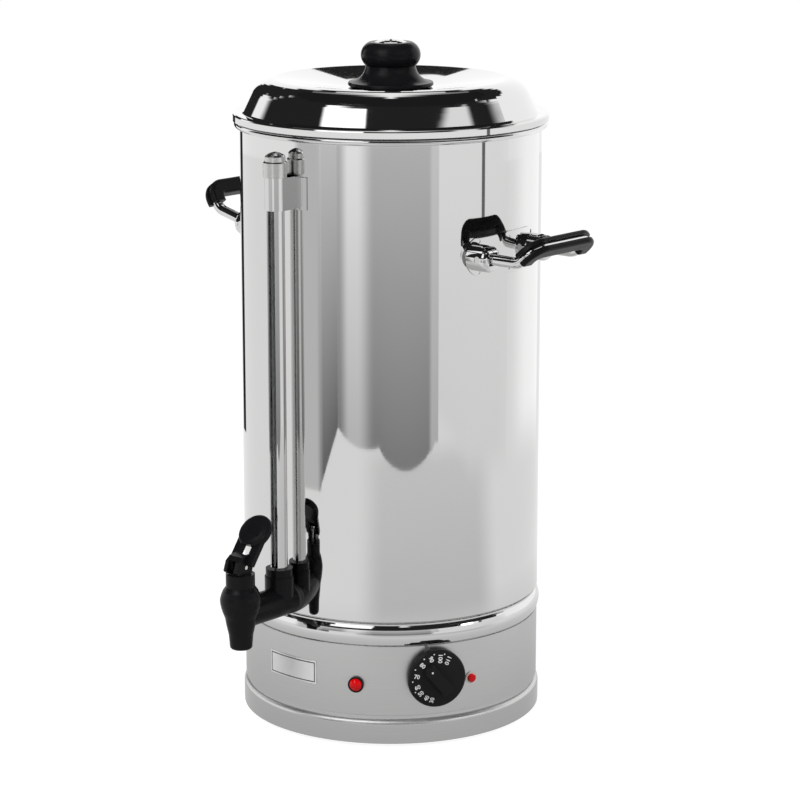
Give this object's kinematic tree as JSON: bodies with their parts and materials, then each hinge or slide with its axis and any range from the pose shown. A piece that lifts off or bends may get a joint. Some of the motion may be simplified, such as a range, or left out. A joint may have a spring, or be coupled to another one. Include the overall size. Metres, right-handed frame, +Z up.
{
  "type": "hot water urn",
  "caption": "Tall cylindrical steel hot water urn with lever tap, sight gauge, dished lid, black knob, folding side handles and a dial on its base.",
  "frame": {"origin": "on the tank's axis, at the surface that the four feet stand on", "axes": "+Z up along the tank's axis, -Y towards the tap, +X towards the handle on the right of somebody facing the tap"},
  "size_m": [0.3261, 0.2918, 0.5004],
  "materials": {
    "polished_steel": "mirror polished stainless steel",
    "satin_steel": "satin stainless steel",
    "black_plastic": "black heat-resistant plastic with a soft sheen",
    "red_plastic": "clear red, glossy",
    "pale_plastic": "pale moulded plastic and ceramic",
    "glass": "clear heat-resistant tube, dark when empty",
    "silicone": "matt silicone",
    "rubber": "black rubber",
    "brass": "machined brass",
    "label": "bare pale plate with a thin dark border",
    "print": "screen-printed dark grey ink",
    "wire": "insulated wires in three colours"
  },
  "bodies": {
    "urn": {"base_skirt": "satin_steel", "waist_bead": "polished_steel", "bottom_plate": "satin_steel", "feet": "rubber", "tie_rods": "satin_steel", "tie_nuts": "satin_steel", "tank_wall": "polished_steel", "tank_floor": "satin_steel", "heating_element": "satin_steel", "element_fittings": "brass", "element_seals": "silicone", "element_nuts": "brass", "right_handle_plate": "satin_steel", "left_handle_plate": "satin_steel", "handle_pins": "satin_steel", "gauge_glass": "glass", "gauge_guard": "polished_steel", "gauge_bracket": "polished_steel", "gauge_cap": "satin_steel", "gauge_seals": "silicone", "tap_body": "black_plastic", "tap_bonnet": "black_plastic", "tap_spring": "satin_steel", "tap_gaskets": "silicone", "tap_locknut": "brass", "label_plate": "label", "lamp_lens": "red_plastic", "lamp_bezel": "black_plastic", "lamp_body": "pale_plastic", "lamp_nut": "black_plastic", "dial_pointer": "print", "thermostat_body": "pale_plastic", "thermostat_screws": "satin_steel", "thermostat_bulb": "brass", "bulb_clips": "satin_steel", "cutout_body": "pale_plastic", "cutout_nut": "black_plastic", "inlet_housing": "black_plastic", "inlet_pins": "brass", "inlet_screws": "satin_steel", "terminal_block": "pale_plastic", "wiring": "wire"},
    "lid": {"lid": "polished_steel", "lid_knob": "black_plastic", "knob_cap": "polished_steel", "knob_screw": "satin_steel"},
    "right_handle": {"right_handle_rod": "polished_steel", "right_handle_grip": "black_plastic"},
    "left_handle": {"left_handle_rod": "polished_steel", "left_handle_grip": "black_plastic"},
    "tap_stem": {"tap_stem": "satin_steel", "tap_seat_cup": "silicone"},
    "tap_lever": {"tap_lever": "black_plastic", "tap_lever_pin": "satin_steel"},
    "dial": {"dial": "black_plastic", "thermostat_shaft": "satin_steel"},
    "reset_button": {"reset_button": "red_plastic"}
  },
  "joints": [
    {"name": "lid_lift", "type": "slide", "parent": "urn", "child": "lid", "axis": [0, 0, 1], "range_m": [0, 0.15]},
    {"name": "right_handle_swing", "type": "hinge", "parent": "urn", "child": "right_handle", "pos_m": [0.115, 0, 0.357], "axis": [0, -1, 0], "range_deg": [0, 60]},
    {"name": "left_handle_swing", "type": "hinge", "parent": "urn", "child": "left_handle", "pos_m": [-0.115, 0, 0.357], "axis": [0, 1, 0], "range_deg": [-14, 46]},
    {"name": "stem_lift", "type": "slide", "parent": "urn", "child": "tap_stem", "axis": [0, 0, 1], "range_m": [0, 0.0041], "deforming": ["tap_spring"]},
    {"name": "lever_turn", "type": "hinge", "parent": "tap_stem", "child": "tap_lever", "pos_m": [0, -0.162, 0.1401], "axis": [1, 0, 0], "range_deg": [0, 45], "stiffness_Nm_per_rad": 0.05, "springref_deg": -17.19},
    {"name": "dial_turn", "type": "hinge", "parent": "urn", "child": "dial", "pos_m": [0.0945, -0.05904, 0.0525], "axis": [0.848, -0.5299, 0], "range_deg": [-150, 45]},
    {"name": "reset_press", "type": "slide", "parent": "urn", "child": "reset_button", "axis": [-0.9563, 0.2924, 0], "range_m": [0, 0.002], "stiffness_N_per_m": 300, "springref_m": -0.002}
  ],
  "couplings": [
    {"joint": "stem_lift", "follows": "lever_turn", "m_per_rad": 0.0051}
  ]
}
